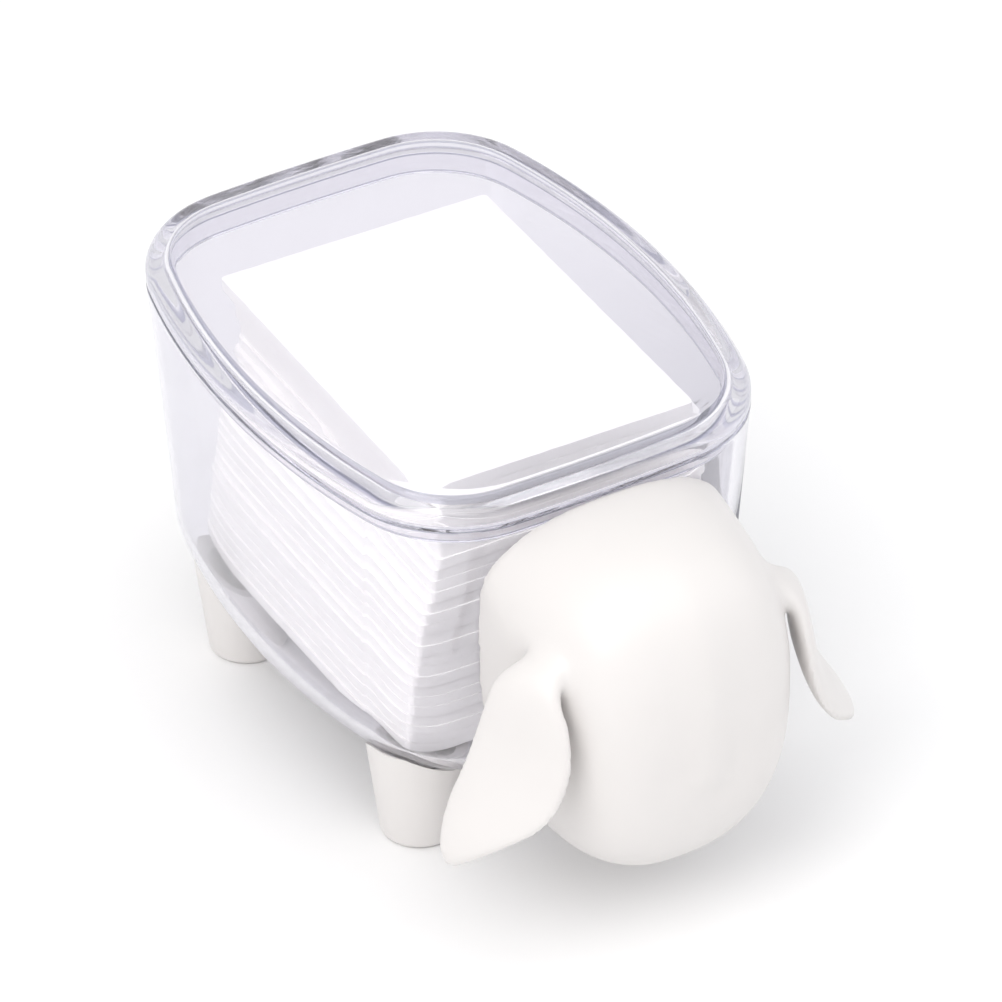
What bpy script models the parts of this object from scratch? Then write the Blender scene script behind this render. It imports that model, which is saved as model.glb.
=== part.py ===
"""A clear storage box shaped like an animal: tub, lift-off lid, hollow head with ears, four legs, cotton pads.

Run with: blender --background --python part.py
Units are metres, +Z is up, the head looks towards -Y, and the feet stand on Z = 0.
"""
import math

import bmesh
import bpy
from mathutils import Matrix, Vector

mm = 0.001

# Plan of the box at its rim, and how its drafted walls have changed where they would reach its underside
box_width = 80.0 * mm
box_length = 102.7 * mm
corner_radius = 20.6 * mm
side_bow = 3.9 * mm
end_bow = 0.35 * mm
width_taper = 5.3 * mm
length_taper = 10.3 * mm
base_corner_radius = 21.4 * mm
base_side_bow = 3.0 * mm

# Tub, with a long rounding where its walls turn into its floor
tub_depth = 57.4 * mm
wall = 2.0 * mm
floor_thickness = 2.0 * mm
bottom_rise = 14.0 * mm
bottom_run = 11.1 * mm

# Lid
lid_height = 5.4 * mm
lid_top_thickness = 2.2 * mm
lid_edge_radius = 4.0 * mm
skirt_depth = 3.3 * mm
skirt_thickness = 1.1 * mm
skirt_clearance = 0.45 * mm

# Clearance between neighbouring pieces, and how far a cutter runs past what it cuts
gap = 0.3 * mm
overrun = 1.0 * mm

# Legs
leg_height = 14.9 * mm
leg_from_side = 16.9 * mm
leg_from_end = 22.1 * mm
leg_top_radius = 8.8 * mm
leg_foot_radius = 6.7 * mm
leg_rise = 5.2 * mm
leg_wall = 2.0 * mm
foot_edge_radius = 1.2 * mm
leg_peg_radius = 2.2 * mm
leg_peg_chamfer = 0.4 * mm

# Head, an egg standing on the tub's front wall, with a soft ridge down the middle of its face
head_width = 44.3 * mm
head_height = 65.7 * mm
head_top_drop = 0.3 * mm
head_nose_drop = 37.2 * mm
head_reach = 32.0 * mm
head_wall = 2.0 * mm
head_widest_share = 0.21
head_settling = 1.05
head_squareness = 2.45
head_side_fullness = 3.7
head_brow_fullness = 3.7
head_chin_fullness = 2.3
ridge_height = 1.2 * mm
ridge_half_width = 5.0 * mm
rim_overrun = 0.7 * mm

# Plate that closes the head, with its two snap pegs
plate_thickness = 1.8 * mm
plate_seat_step = 0.9 * mm
plate_clearance = 0.3 * mm
head_peg_radius = 2.6 * mm
head_peg_spacing = 22.0 * mm
head_peg_drop = 22.0 * mm
head_peg_barb = 0.7 * mm
head_peg_barb_length = 2.4 * mm
head_peg_tip_share = 0.6

# Ears, each a curved blade that leaves the head's side near the top and hangs away from it
ear_start_drop = 8.1 * mm
ear_drop = 42.3 * mm
ear_start_x = 17.8 * mm
ear_reach = 19.4 * mm
ear_forward = 17.4 * mm
ear_width = 18.8 * mm
ear_thickness = 3.1 * mm
ear_turn = math.radians(21.5)
ear_edge_fullness = 0.8

# Ear stations from root to tip, as shares of its drop, reach, forward place, width and thickness
ear_station_shares = [
    (0.10, 0.00, 0.90, 0.30, 0.70),
    (0.165, 0.20, 0.93, 0.46, 1.10),
    (0.24, 0.33, 0.95, 0.66, 1.05),
    (0.37, 0.38, 0.99, 0.86, 1.00),
    (0.51, 0.43, 1.00, 0.98, 1.00),
    (0.64, 0.53, 0.99, 1.00, 1.00),
    (0.75, 0.67, 0.96, 0.93, 1.00),
    (0.85, 0.83, 0.88, 0.68, 0.95),
    (0.94, 0.95, 0.80, 0.38, 0.80),
    (1.00, 1.00, 0.76, 0.12, 0.40),
]

# Cotton pads
pad_count = 25
pad_width = 50.0 * mm
pad_length = 70.0 * mm
pad_corner_radius = 2.5 * mm
pad_side_share = 0.5
pad_drift = 0.5 * mm
pad_twist = math.radians(0.25)
pad_drift_rates = (1.7, 2.3, 2.9)
fill_drop = 3.2 * mm

# How finely the round shapes are divided
corner_steps = 8
side_steps = 12
end_steps = 4
bend_steps = 7
lathe_steps = 22
foot_steps = 3
head_steps_around = 48
head_steps_forward = 12
head_ring_spread = 0.7
section_samples = 240
ear_section_steps = 16
ear_steps_between = 2
pad_corner_steps = 2

# The signs of X and Y in the four quarters of the plan, in turn
quarters = ((1, 1), (-1, 1), (-1, -1), (1, -1))

# Places that follow from the sizes
rim_z = leg_height + tub_depth
middle_y = (head_reach + gap) / 2
front_wall_y = middle_y - box_length / 2
front_slope = length_taper / 2 / tub_depth
nose_y = front_wall_y - gap - head_reach
turn_z = leg_height + bottom_rise
head_top_z = rim_z - head_top_drop
head_bottom_z = head_top_z - head_height
head_nose_z = rim_z - head_nose_drop


def clear_scene():
    for old in list(bpy.data.objects):
        bpy.data.objects.remove(old, do_unlink=True)


def add_material(name, colour, roughness, transmission=0.0, ior=1.5):
    made = bpy.data.materials.new(name)
    made.use_nodes = True
    shader = made.node_tree.nodes["Principled BSDF"]
    shader.inputs["Base Color"].default_value = (*colour, 1.0)
    shader.inputs["Roughness"].default_value = roughness
    shader.inputs["Metallic"].default_value = 0.0
    shader.inputs["IOR"].default_value = ior
    shader.inputs["Transmission Weight"].default_value = transmission
    return made


def add_object(name, bm, finish, smooth_angle=math.radians(40)):
    bmesh.ops.recalc_face_normals(bm, faces=bm.faces)
    mesh = bpy.data.meshes.new(name)
    bm.to_mesh(mesh)
    bm.free()
    mesh.shade_smooth()
    mesh.set_sharp_from_angle(angle=smooth_angle)
    if finish:
        mesh.materials.append(finish)
    made = bpy.data.objects.new(name, mesh)
    bpy.context.scene.collection.objects.link(made)
    return made


def add_cutter(name, bm):
    made = add_object(name, bm, None)
    made.hide_render = True
    made.display_type = "WIRE"
    return made


def combine(target, tool, operation):
    step = target.modifiers.new(tool.name, "BOOLEAN")
    step.operation = operation
    step.solver = "EXACT"
    step.object = tool


def loft(bm, rings):
    """Joins rings of points one after the other; a ring of one point is a pole, and open ends get a face."""
    made = [[bm.verts.new(point) for point in ring] for ring in rings]
    count = max(len(ring) for ring in made)
    for lower, upper in zip(made, made[1:]):
        for i in range(count):
            j = (i + 1) % count
            picks = (lower[i % len(lower)], lower[j % len(lower)], upper[j % len(upper)], upper[i % len(upper)])
            bm.faces.new(list(dict.fromkeys(picks)))
    for ring in (made[0], made[-1]):
        if len(ring) > 1:
            bm.faces.new(ring)


def lathe(bm, profile, place):
    """Turns (radius, height) pairs round Z, closes both ends with a flat face and puts the result in place."""
    turns = [math.tau * i / lathe_steps for i in range(lathe_steps)]
    rings = []
    for radius, height in profile:
        ring = [Vector((radius * math.cos(t), radius * math.sin(t), height)) for t in turns]
        rings.append([place @ point for point in ring])
    loft(bm, rings)


def rod(bm, radius, low, high, place):
    lathe(bm, [(radius, low), (radius, high)], place)


def bowed_side(half_chord, bow, steps):
    """Points of a shallow arc over a chord along X, each with the direction that faces out of it."""
    radius = (half_chord**2 + bow**2) / (2 * bow)
    half_angle = math.asin(half_chord / radius)
    made = []
    for i in range(steps + 1):
        turn = half_angle * (2 * i / steps - 1)
        out = Vector((math.sin(turn), math.cos(turn)))
        made.append((out * radius + Vector((0, bow - radius)), out))
    return made


def plan_sizes(height):
    """Half width and half length of the outline's inner core, its corner radius and its side bow, at a height."""
    depth_share = max(rim_z - height, 0) / tub_depth
    width = box_width - width_taper * depth_share
    length = box_length - length_taper * depth_share
    radius = corner_radius + (base_corner_radius - corner_radius) * depth_share
    bow = side_bow + (base_side_bow - side_bow) * depth_share
    return width / 2 - radius - bow, length / 2 - radius - end_bow, radius, bow


def plan_ring(inset, height):
    """The box's outline at a height, moved in by inset: bowed sides joined by round corners."""
    core_width, core_length, radius, bow = plan_sizes(height)
    rear = bowed_side(core_width, end_bow, end_steps)
    rear = [(p + Vector((0, core_length)), out) for p, out in rear]
    right = []
    for p, out in bowed_side(core_length, bow, side_steps):
        right.append((Vector((p.y + core_width, -p.x)), Vector((out.y, -out.x))))
    turn_from = math.atan2(rear[-1][1].y, rear[-1][1].x)
    turn_to = math.atan2(right[0][1].y, right[0][1].x)
    corner = []
    for i in range(1, corner_steps):
        turn = turn_from + (turn_to - turn_from) * i / corner_steps
        corner.append((Vector((core_width, core_length)), Vector((math.cos(turn), math.sin(turn)))))
    core = rear[end_steps // 2:] + corner + right[:side_steps // 2 + 1]
    quarter = [p + out * (radius - inset) for p, out in core]
    mirrored = [Vector((p.x, -p.y)) for p in reversed(quarter[1:-1])]
    half = quarter + mirrored
    return [Vector((p.x, p.y + middle_y, height)) for p in half + [-p for p in half]]


def bend(inset, height, run, rise):
    """(inset, height) pairs of a quarter ellipse that leaves a wall and turns inwards on its way down."""
    made = []
    for i in range(1, bend_steps + 1):
        turn = math.pi / 2 * i / bend_steps
        made.append((inset + run * (1 - math.cos(turn)), height - rise * math.sin(turn)))
    return made


def tub_outer_levels(grow):
    return [(-grow, rim_z), (-grow, turn_z)] + bend(-grow, turn_z, bottom_run + grow, bottom_rise + grow)


def tub_inner_levels():
    levels = [(wall, rim_z), (wall, turn_z)]
    return levels + bend(wall, turn_z, bottom_run - wall, bottom_rise - floor_thickness)


def room_beside(points, inset, height):
    """The least distance inside the outline's round corners that a set of points keeps at a level."""
    core_width, core_length, radius, bow = plan_sizes(height)
    rooms = []
    for p in points:
        past_core = Vector((max(abs(p.x) - core_width, 0), max(abs(p.y) - core_length, 0)))
        rooms.append(radius - inset - past_core.length)
    return min(rooms)


def resting_height(points):
    """How far down the inside of the tub a flat sheet goes before one of its corners meets the rounding."""
    levels = tub_inner_levels()
    for before, after in zip(levels, levels[1:]):
        room, next_room = room_beside(points, *before), room_beside(points, *after)
        if next_room < 0 <= room:
            return before[1] + (after[1] - before[1]) * room / (room - next_room)
    return leg_height + floor_thickness


def peg_places():
    """X and Z of the two pegs that hold the head."""
    return [(side * head_peg_spacing / 2, rim_z - head_peg_drop) for side in (-1, 1)]


def leg_places():
    out_x = box_width / 2 - leg_from_side
    out_y = box_length / 2 - leg_from_end
    made = {}
    for end, y in (("front", -out_y), ("rear", out_y)):
        for side, x in (("left", -out_x), ("right", out_x)):
            made[f"leg_{end}_{side}"] = Matrix.Translation((x, y + middle_y, 0))
    return made


def facing_rear(x, z):
    """Turns a lathed shape's own +Z towards +Y and moves it to a given X and Z."""
    return Matrix.Translation((x, 0, z)) @ Matrix.Rotation(-math.pi / 2, 4, "X")


def make_envelope():
    """The tub's outer form grown by the gap, to trim what seats against the tub."""
    levels = [(-gap, rim_z + overrun)] + tub_outer_levels(gap)
    bm = bmesh.new()
    loft(bm, [plan_ring(inset, height) for inset, height in levels])
    return add_cutter("tub_envelope", bm)


def make_tub(finish):
    levels = tub_outer_levels(0)[::-1] + tub_inner_levels()
    bm = bmesh.new()
    loft(bm, [plan_ring(inset, height) for inset, height in levels])
    tub = add_object("tub", bm, finish)
    holes = bmesh.new()
    for x, z in peg_places():
        hole_from = front_wall_y - overrun
        hole_to = head_rear_y(z) + wall + gap + overrun + overrun
        rod(holes, head_peg_radius + gap, hole_from, hole_to, facing_rear(x, z))
    for place in leg_places().values():
        hole_to = leg_height + floor_thickness + overrun + overrun
        rod(holes, leg_peg_radius + gap, leg_height - overrun, hole_to, place)
    combine(tub, add_cutter("tub_holes", holes), "DIFFERENCE")


def make_lid(finish):
    """A flat-topped cap with a rounded upper edge, flush with the tub, and a skirt that drops inside it."""
    seat_z = rim_z + gap
    top_z = seat_z + lid_height
    skirt_z = rim_z - skirt_depth
    skirt_outer = wall + skirt_clearance
    skirt_inner = skirt_outer + skirt_thickness
    levels = [(skirt_inner, top_z - lid_top_thickness), (skirt_inner, skirt_z)]
    levels += [(skirt_outer, skirt_z), (skirt_outer, seat_z), (0, seat_z)]
    levels += [(0, top_z - lid_edge_radius)]
    for inset, height in bend(0, 0, lid_edge_radius, lid_edge_radius):
        levels.append((inset, top_z - lid_edge_radius - height))
    bm = bmesh.new()
    loft(bm, [plan_ring(inset, height) for inset, height in levels])
    lid = add_object("lid", bm, finish)
    axis = bpy.data.objects.new("lid_lift_axis", None)
    axis.location = (0, middle_y, rim_z)
    bpy.context.scene.collection.objects.link(axis)
    lid.parent = axis
    lid.matrix_parent_inverse = Matrix.Translation(axis.location).inverted()


def make_leg(name, place, finish, envelope):
    """A tapered cup under the tub's rounded corner, with a peg that stands in a hole in the tub's floor."""
    rise_to = leg_height + leg_rise
    profile = [(leg_foot_radius - foot_edge_radius, 0)]
    for i in range(1, foot_steps + 1):
        turn = math.pi / 2 * i / foot_steps
        edge = foot_edge_radius * (1 - math.sin(turn))
        profile.append((leg_foot_radius - edge, foot_edge_radius * (1 - math.cos(turn))))
    profile += [(leg_top_radius, rise_to), (leg_top_radius - leg_wall, rise_to)]
    profile.append((leg_foot_radius - leg_wall, leg_wall))
    bm = bmesh.new()
    lathe(bm, profile, place)
    leg = add_object(name, bm, finish)
    combine(leg, envelope, "DIFFERENCE")

    peg_top_z = leg_height + floor_thickness
    peg = [(leg_peg_radius, leg_wall / 2), (leg_peg_radius, peg_top_z - leg_peg_chamfer)]
    peg.append((leg_peg_radius - leg_peg_chamfer, peg_top_z))
    bm = bmesh.new()
    lathe(bm, peg, place)
    combine(leg, add_cutter(f"{name}_peg", bm), "UNION")


def head_section(half_width, top, widest, bottom):
    """Evenly spaced (x, z) points round a squared oval, clockwise from its top, with its widest level given."""
    samples = []
    for i in range(section_samples + 1):
        turn = math.pi * (0.5 - i / section_samples)
        half_height = (top if i < section_samples / 2 else bottom) - widest
        x = half_width * max(math.cos(turn), 0) ** (2 / head_squareness)
        samples.append(Vector((x, widest + half_height * abs(math.sin(turn)) ** (2 / head_squareness))))
    lengths = [0.0]
    for before, after in zip(samples, samples[1:]):
        lengths.append(lengths[-1] + (after - before).length)
    right = []
    half_steps = head_steps_around // 2
    at = 0
    for k in range(half_steps):
        wanted = lengths[-1] * k / half_steps
        while lengths[at + 1] < wanted:
            at += 1
        share = (wanted - lengths[at]) / (lengths[at + 1] - lengths[at])
        right.append(samples[at].lerp(samples[at + 1], share))
    right.append(samples[-1])
    return right + [Vector((-p.x, p.y)) for p in reversed(right[1:-1])]


def head_rear_y(z):
    """Where the plane of the head's back stands at a height: a gap in front of the sloping tub wall."""
    return front_wall_y + (rim_z - z) * front_slope - gap


def dome(forward, fullness):
    return (1 - forward**fullness) ** (1 / fullness)


def head_ring(inset, turn, setback=0.0, follow_corner=False):
    """A ring of the head's skin, inset from its outside, at an angle from its rim (0) to its nose (90)."""
    forward = math.sin(turn) ** head_ring_spread
    top = head_nose_z + (head_top_z - inset - head_nose_z) * dome(forward, head_brow_fullness)
    bottom = head_nose_z - (head_nose_z - head_bottom_z - inset) * dome(forward, head_chin_fullness)
    settled = forward**head_settling
    widest = top - (top - bottom) * (head_widest_share * (1 - settled) + settled / 2)
    half_width = (head_width / 2 - inset) * dome(forward, head_side_fullness)
    ring = []
    for x, z in head_section(half_width, top, widest, bottom):
        up = max((z - widest) / (top - widest), 0)
        down = max((widest - z) / (widest - bottom), 0)
        crest = ridge_height * forward * (1 - down) * math.exp(-((x / ridge_half_width) ** 2))
        if inset > 0:
            crest = 0.0
        rear = head_rear_y(z)
        y = rear + (nose_y + ridge_height + inset - rear) * forward + setback
        if follow_corner:
            core_width, core_length, radius, bow = plan_sizes(z)
            past = min(max(abs(x) - core_width, 0), radius)
            y += radius - math.sqrt(radius**2 - past**2)
        ring.append(Vector((x, y - crest * forward, z + crest * up * (1 - forward))))
    return ring


def between_stations(stations, steps):
    """Puts rows on a smooth curve between each two stations, and keeps the stations."""
    rows = []
    for i in range(len(stations) - 1):
        before, after = stations[max(i - 1, 0)], stations[min(i + 2, len(stations) - 1)]
        for k in range(steps):
            t = k / steps
            weights = (-t + 2 * t**2 - t**3, 2 - 5 * t**2 + 3 * t**3, t + 4 * t**2 - 3 * t**3, t**3 - t**2)
            corners = (before, stations[i], stations[i + 1], after)
            rows.append([sum(w * row[n] for w, row in zip(weights, corners)) / 2 for n in range(len(before))])
    return rows + [stations[-1]]


def make_ear(side):
    """One ear blade, from a root sunk in the head's skin to a round tip; side is -1 for left, 1 for right."""
    rings = []
    for drop, reach, forward, width, thickness in between_stations(ear_station_shares, ear_steps_between):
        x = ear_start_x + ear_reach * reach
        y = front_wall_y - ear_forward * forward
        z = rim_z - ear_start_drop - ear_drop * drop
        ring = []
        for i in range(ear_section_steps):
            turn = math.tau * i / ear_section_steps
            along = math.copysign(abs(math.cos(turn)) ** ear_edge_fullness, math.cos(turn))
            along *= ear_width * width / 2
            across = math.sin(turn) * ear_thickness * thickness / 2
            px = x - along * math.sin(ear_turn) + across * math.cos(ear_turn)
            py = y - along * math.cos(ear_turn) - across * math.sin(ear_turn)
            ring.append(Vector((side * px, py, z)))
        rings.append(ring)
    bm = bmesh.new()
    loft(bm, rings)
    return add_cutter("ear_left_form" if side < 0 else "ear_right_form", bm)


def make_head(finish, envelope):
    """The hollow head in one with its ears; its rim follows the tub wall and holds a seat for the plate."""
    turns = [math.pi / 2 * i / head_steps_forward for i in range(head_steps_forward)]
    seat_inset = head_wall - plate_seat_step
    seat_depth = -plate_thickness - plate_clearance
    nose = Vector((0, nose_y, head_nose_z))
    rings = [[nose]] + [head_ring(0, turn) for turn in reversed(turns)]
    rings += [head_ring(0, 0, rim_overrun, True), head_ring(seat_inset, 0, rim_overrun, True)]
    rings += [head_ring(seat_inset, 0, seat_depth), head_ring(head_wall, 0, seat_depth)]
    rings += [head_ring(head_wall, turn) for turn in turns[1:]]
    rings += [[nose + Vector((0, ridge_height + head_wall, 0))]]
    bm = bmesh.new()
    loft(bm, rings)
    head = add_object("head_shell", bm, finish)
    combine(head, envelope, "DIFFERENCE")
    for side in (-1, 1):
        combine(head, make_ear(side), "UNION")


def make_head_back(finish):
    """The plate that closes the head from behind, with two barbed pegs through the tub's front wall."""
    inset = head_wall - plate_seat_step + plate_clearance
    bm = bmesh.new()
    loft(bm, [head_ring(inset, 0), head_ring(inset, 0, -plate_thickness)])
    plate = add_object("head_back", bm, finish)
    barb_radius = head_peg_radius + head_peg_barb
    for side, (x, z) in zip(("left", "right"), peg_places()):
        root_y = head_rear_y(z) - plate_thickness / 2
        barb_y = head_rear_y(z - barb_radius) + gap + wall + gap
        tip_y = barb_y + head_peg_barb_length
        peg = [(head_peg_radius, root_y), (head_peg_radius, barb_y), (barb_radius, barb_y)]
        peg.append((head_peg_radius * head_peg_tip_share, tip_y))
        bm = bmesh.new()
        lathe(bm, peg, facing_rear(x, z))
        combine(plate, add_cutter(f"head_peg_{side}", bm), "UNION")


def pad_outline():
    made = []
    for i, (sx, sy) in enumerate(quarters):
        x = sx * (pad_width / 2 - pad_corner_radius)
        y = sy * (pad_length / 2 - pad_corner_radius)
        for k in range(pad_corner_steps + 1):
            turn = math.pi / 2 * (i + k / pad_corner_steps)
            made.append(Vector((x, y)) + pad_corner_radius * Vector((math.cos(turn), math.sin(turn))))
    return made


def make_pads(finish):
    """A stack of pads that rests in the tub where the lowest pad's corners meet the rounded bottom edge."""
    outline = pad_outline()
    core_width, core_length, radius, bow = plan_sizes(turn_z)
    free_width = core_width + radius - wall - pad_width / 2
    middle_x = free_width * pad_side_share
    corners = [Vector((abs(p.x) + middle_x + pad_drift, abs(p.y) + pad_drift)) for p in outline]
    stack_from = resting_height(corners) + gap
    pitch = (rim_z - fill_drop - stack_from) / pad_count
    for i in range(pad_count):
        x = middle_x + pad_drift * math.sin(pad_drift_rates[0] * i)
        y = middle_y + pad_drift * math.sin(pad_drift_rates[1] * i + 1)
        twist = Matrix.Rotation(pad_twist * math.sin(pad_drift_rates[2] * i), 2)
        low = stack_from + pitch * i
        flat = [twist @ p + Vector((x, y)) for p in outline]
        bm = bmesh.new()
        loft(bm, [[Vector((p.x, p.y, z)) for p in flat] for z in (low, low + pitch - gap)])
        add_object(f"cotton_pad_{i + 1:02d}", bm, finish)


def main():
    clear_scene()
    clear_plastic = add_material("clear_plastic", (0.93, 0.94, 0.97), 0.05, 1.0, 1.59)
    white_plastic = add_material("white_plastic", (0.9, 0.89, 0.87), 0.35)
    cotton = add_material("pressed_cotton", (0.93, 0.92, 0.9), 0.95)
    envelope = make_envelope()
    make_tub(clear_plastic)
    make_lid(clear_plastic)
    for name, place in leg_places().items():
        make_leg(name, place, white_plastic, envelope)
    make_head(white_plastic, envelope)
    make_head_back(white_plastic)
    make_pads(cotton)


main()
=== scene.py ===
import math

import bmesh
import bpy
from mathutils import Matrix, Vector, noise


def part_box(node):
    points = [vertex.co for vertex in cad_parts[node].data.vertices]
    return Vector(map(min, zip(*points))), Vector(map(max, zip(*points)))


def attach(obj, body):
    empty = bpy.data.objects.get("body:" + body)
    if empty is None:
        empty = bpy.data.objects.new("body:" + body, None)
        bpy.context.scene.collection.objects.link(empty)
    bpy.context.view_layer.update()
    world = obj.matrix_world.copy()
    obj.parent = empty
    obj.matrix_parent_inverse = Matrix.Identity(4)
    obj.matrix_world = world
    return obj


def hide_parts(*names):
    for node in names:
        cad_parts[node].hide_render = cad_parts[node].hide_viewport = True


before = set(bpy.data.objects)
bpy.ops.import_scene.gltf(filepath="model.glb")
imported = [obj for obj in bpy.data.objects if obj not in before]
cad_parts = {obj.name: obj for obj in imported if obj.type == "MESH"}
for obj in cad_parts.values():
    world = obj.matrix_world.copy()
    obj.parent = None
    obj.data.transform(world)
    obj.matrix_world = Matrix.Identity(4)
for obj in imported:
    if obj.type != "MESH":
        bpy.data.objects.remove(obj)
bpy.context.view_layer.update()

mm = 0.001

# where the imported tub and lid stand: every piece is placed from these
tubLow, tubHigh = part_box("tub")
lidLow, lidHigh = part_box("lid")
rimZ = tubHigh.z
baseZ = tubLow.z
middleY = (tubLow.y + tubHigh.y) / 2
frontWallY = tubLow.y

# shared outline of tub and lid: bowed sides, round corners, drafted walls (sizes in metres)
plan = {
    "width": tubHigh.x - tubLow.x,
    "length": tubHigh.y - tubLow.y,
    "cornerRadius": 20.6 * mm,
    "sideBow": 3.9 * mm,
    "endBow": 0.35 * mm,
    "widthTaper": 5.3 * mm,
    "lengthTaper": 10.3 * mm,
    "baseCornerRadius": 21.4 * mm,
    "baseSideBow": 3.0 * mm,
    "cornerSteps": 22,
    "sideSteps": 36,
    "endSteps": 12,
    "supportMargin": 0.5 * mm,
}

gap = 0.3 * mm  # clearance kept between neighbouring pieces
sharpAngle = math.radians(35)  # edges that turn by more than this stay crisp


# small tools

def hexColour(code):
    # sRGB hex to the linear values that shader sockets hold
    parts = [int(code[i:i + 2], 16) / 255 for i in (1, 3, 5)]
    return tuple(c / 12.92 if c <= 0.04045 else ((c + 0.055) / 1.055) ** 2.4 for c in parts) + (1.0,)


def addNode(tree, kind, settings={}, feeds={}):
    # one shader node, with its settings, and a value or a link for each named socket
    node = tree.nodes.new(kind)
    for name, value in settings.items():
        setattr(node, name, value)
    for socket, value in feeds.items():
        if isinstance(value, bpy.types.NodeSocket):
            tree.links.new(value, node.inputs[socket])
        else:
            node.inputs[socket].default_value = value
    return node


def startMaterial(name, **values):
    # a new material with constants on its shader's own sockets; _ in a name stands for a space
    made = bpy.data.materials.new(name)
    made.use_nodes = True
    shader = made.node_tree.nodes["Principled BSDF"]
    for socket, value in values.items():
        shader.inputs[socket.replace("_", " ")].default_value = value
    return made, made.node_tree, shader


def joinRings(bm, rings):
    # skins rings of points in turn; a ring of one point is a pole, and an open end gets one flat face
    made = [[bm.verts.new(point) for point in ring] for ring in rings]
    count = max(len(ring) for ring in made)
    for lower, upper in zip(made, made[1:]):
        for i in range(count):
            j = (i + 1) % count
            below = [lower[k % len(lower)] for k in (i, j)]
            above = [upper[k % len(upper)] for k in (j, i)]
            bm.faces.new(list(dict.fromkeys(below + above)))
    for ring in (made[0], made[-1]):
        if len(ring) > 1:
            bm.faces.new(ring)


def addPiece(name, bm, finish, crispFrom=sharpAngle):
    bmesh.ops.recalc_face_normals(bm, faces=bm.faces)
    mesh = bpy.data.meshes.new(name)
    bm.to_mesh(mesh)
    bm.free()
    mesh.shade_smooth()
    mesh.set_sharp_from_angle(angle=crispFrom)
    if finish:
        mesh.materials.append(finish)
    piece = bpy.data.objects.new(name, mesh)
    bpy.context.scene.collection.objects.link(piece)
    return piece


def addStep(piece, kind, **settings):
    step = piece.modifiers.new(kind.lower(), kind)
    for name, value in settings.items():
        setattr(step, name, value)
    return step


def bakeSteps(piece):
    # turns the piece's modifiers into plain mesh, so that nothing else has to stay in the scene
    shape = piece.evaluated_get(bpy.context.evaluated_depsgraph_get())
    mesh = bpy.data.meshes.new_from_object(shape)
    piece.modifiers.clear()
    piece.data = mesh
    mesh.shade_smooth()
    mesh.set_sharp_from_angle(angle=sharpAngle)


def paintEdgeShade(piece, finish, facing, wanted):
    # painted shade: a second, darker clear material for the rounded edges that face up (1) or down (-1), at
    # the heights that are wanted
    piece.data.materials.append(finish)
    low, high = polystyrene["paintedShadeSlant"]
    for face in piece.data.polygons:
        if low < facing * face.normal.z < high and wanted(face.center.z):
            face.material_index = len(piece.data.materials) - 1


def seat(piece, body, slot, *nodes):
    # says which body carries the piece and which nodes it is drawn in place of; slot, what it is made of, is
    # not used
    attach(piece, body)
    if nodes:
        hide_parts(*nodes)


# the shared outline

def bowedSide(halfChord, bow, steps):
    # points and outward directions along a side that bulges by the bow in its middle
    radius = (halfChord**2 + bow**2) / (2 * bow)
    halfAngle = math.asin(halfChord / radius)
    made = []
    for i in range(steps + 1):
        turn = halfAngle * (2 * i / steps - 1)
        out = Vector((math.sin(turn), math.cos(turn)))
        made.append((out * radius + Vector((0, bow - radius)), out))
    return made


def planSizes(height):
    # half width and half length between the corners' centres, corner radius and side bow at a height
    share = max(rimZ - height, 0) / (rimZ - baseZ)
    width = plan["width"] - plan["widthTaper"] * share
    length = plan["length"] - plan["lengthTaper"] * share
    radius = plan["cornerRadius"] + (plan["baseCornerRadius"] - plan["cornerRadius"]) * share
    bow = plan["sideBow"] + (plan["baseSideBow"] - plan["sideBow"]) * share
    return width / 2 - radius - bow, length / 2 - radius - plan["endBow"], radius, bow


def planRing(inset, height):
    coreWidth, coreLength, radius, bow = planSizes(height)
    rear = []
    for p, out in bowedSide(coreWidth, plan["endBow"], plan["endSteps"]):
        rear.append((p + Vector((0, coreLength)), out))
    right = []
    for p, out in bowedSide(coreLength, bow, plan["sideSteps"]):
        right.append((Vector((p.y + coreWidth, -p.x)), Vector((out.y, -out.x))))
    turnFrom = math.atan2(rear[-1][1].y, rear[-1][1].x)
    turnTo = math.atan2(right[0][1].y, right[0][1].x)
    corner = []
    for i in range(1, plan["cornerSteps"]):
        turn = turnFrom + (turnTo - turnFrom) * i / plan["cornerSteps"]
        corner.append((Vector((coreWidth, coreLength)), Vector((math.cos(turn), math.sin(turn)))))
    core = rear[plan["endSteps"] // 2:] + corner + right[:plan["sideSteps"] // 2 + 1]
    quarter = [p + out * (radius - inset) for p, out in core]
    mirrored = [Vector((p.x, -p.y)) for p in reversed(quarter[1:-1])]
    half = quarter + mirrored
    return [Vector((p.x, p.y + middleY, height)) for p in half + [-p for p in half]]


def arc(inset, height, run, rise, steps, inwards=True):
    # (inset, height) pairs of a quarter ellipse; inwards leaves a wall, otherwise it leaves a flat face
    made = []
    for i in range(1, steps + 1):
        turn = math.pi / 2 * i / steps
        if inwards:
            made.append((inset + run * (1 - math.cos(turn)), height + rise * math.sin(turn)))
        else:
            made.append((inset + run * math.sin(turn), height + rise * (1 - math.cos(turn))))
    return made


def withSupports(levels):
    # a ring close to each end of a long straight stretch, so that it shades flat and refracts straight
    made = [levels[0]]
    for before, after in zip(levels, levels[1:]):
        step = Vector(after) - Vector(before)
        if step.length > 3 * plan["supportMargin"]:
            near = step.normalized() * plan["supportMargin"]
            made += [tuple(Vector(before) + near), tuple(Vector(after) - near)]
        made.append(after)
    return made


# materials

print("materials")

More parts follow.
